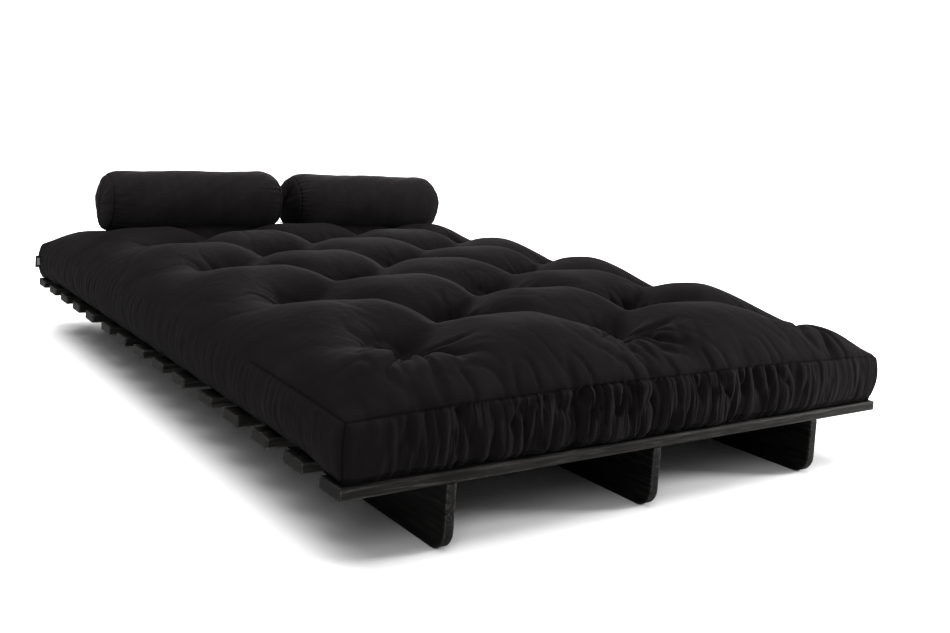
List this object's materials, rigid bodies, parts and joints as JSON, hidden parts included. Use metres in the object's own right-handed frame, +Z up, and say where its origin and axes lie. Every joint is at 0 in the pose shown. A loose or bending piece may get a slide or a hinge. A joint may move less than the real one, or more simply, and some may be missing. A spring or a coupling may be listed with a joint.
{
  "type": "futon sofa bed",
  "caption": "Low slatted futon sofa bed laid flat, with a thick tufted mattress and loose cylindrical bolsters; hinged sections fold up into a sofa",
  "frame": {"origin": "bottom centre of the bounding box, on the floor", "axes": "+X across the bed, +Y from the foot rail to the head, +Z up"},
  "size_m": [1.42, 1.962, 0.5104],
  "materials": {
    "slat_wood": "black stained pine, thin satin lacquer over open grain",
    "board_wood": "black stained pine boards, satin, grain and knots showing",
    "steel": "black oxide steel screws and bolts",
    "mattress_fabric": "matte charcoal black brushed cotton twill",
    "bolster_fabric": "matte charcoal black brushed cotton twill",
    "label_cloth": "blank woven label"
  },
  "bodies": {
    "seat_section": {"slat_01": "slat_wood", "slat_02": "slat_wood", "slat_03": "slat_wood", "slat_04": "slat_wood", "slat_05": "slat_wood", "leg_board_left": "board_wood", "leg_board_middle": "board_wood", "leg_board_right": "board_wood", "seat_slat_screws": "steel", "seat_hinge_bolts": "steel", "seat_hinge_spacers": "steel", "seat_hinge_nuts": "steel", "mattress_seat": "mattress_fabric", "mattress_fold": "mattress_fabric"},
    "back_section": {"slat_06": "slat_wood", "slat_07": "slat_wood", "slat_08": "slat_wood", "slat_09": "slat_wood", "slat_10": "slat_wood", "back_batten_left": "board_wood", "back_batten_middle": "board_wood", "back_batten_right": "board_wood", "back_slat_screws": "steel", "head_hinge_bolts": "steel", "head_hinge_spacers": "steel", "head_hinge_nuts": "steel", "mattress_back": "mattress_fabric"},
    "head_section": {"slat_11": "slat_wood", "slat_12": "slat_wood", "slat_13": "slat_wood", "slat_14": "slat_wood", "slat_15": "slat_wood", "head_batten_left": "board_wood", "head_batten_middle": "board_wood", "head_batten_right": "board_wood", "foot_board_left": "board_wood", "foot_board_middle": "board_wood", "foot_board_right": "board_wood", "head_slat_screws": "steel", "mattress_head": "mattress_fabric", "mattress_label": "label_cloth"},
    "bolster_left_roll": {"bolster_left": "bolster_fabric"},
    "bolster_right_roll": {"bolster_right": "bolster_fabric", "bolster_label": "label_cloth"}
  },
  "joints": [
    {"name": "back_tilt", "type": "hinge", "parent": "seat_section", "child": "back_section", "pos_m": [0.01, -0.343, 0.0995], "axis": [1, 0, 0], "range_deg": [0, 55], "deforming": ["mattress_fold"]},
    {"name": "head_fold", "type": "hinge", "parent": "back_section", "child": "head_section", "pos_m": [0.01, 0.335, 0.0995], "axis": [1, 0, 0], "range_deg": [-132, 0]},
    {"name": "bolster_left_lift", "type": "slide", "parent": "head_section", "child": "bolster_left_roll", "axis": [0, 0, 1], "range_m": [0, 0.25]},
    {"name": "bolster_right_lift", "type": "slide", "parent": "head_section", "child": "bolster_right_roll", "axis": [0, 0, 1], "range_m": [0, 0.25]}
  ],
  "couplings": [
    {"joint": "head_fold", "follows": "back_tilt", "ratio": -2.4}
  ]
}
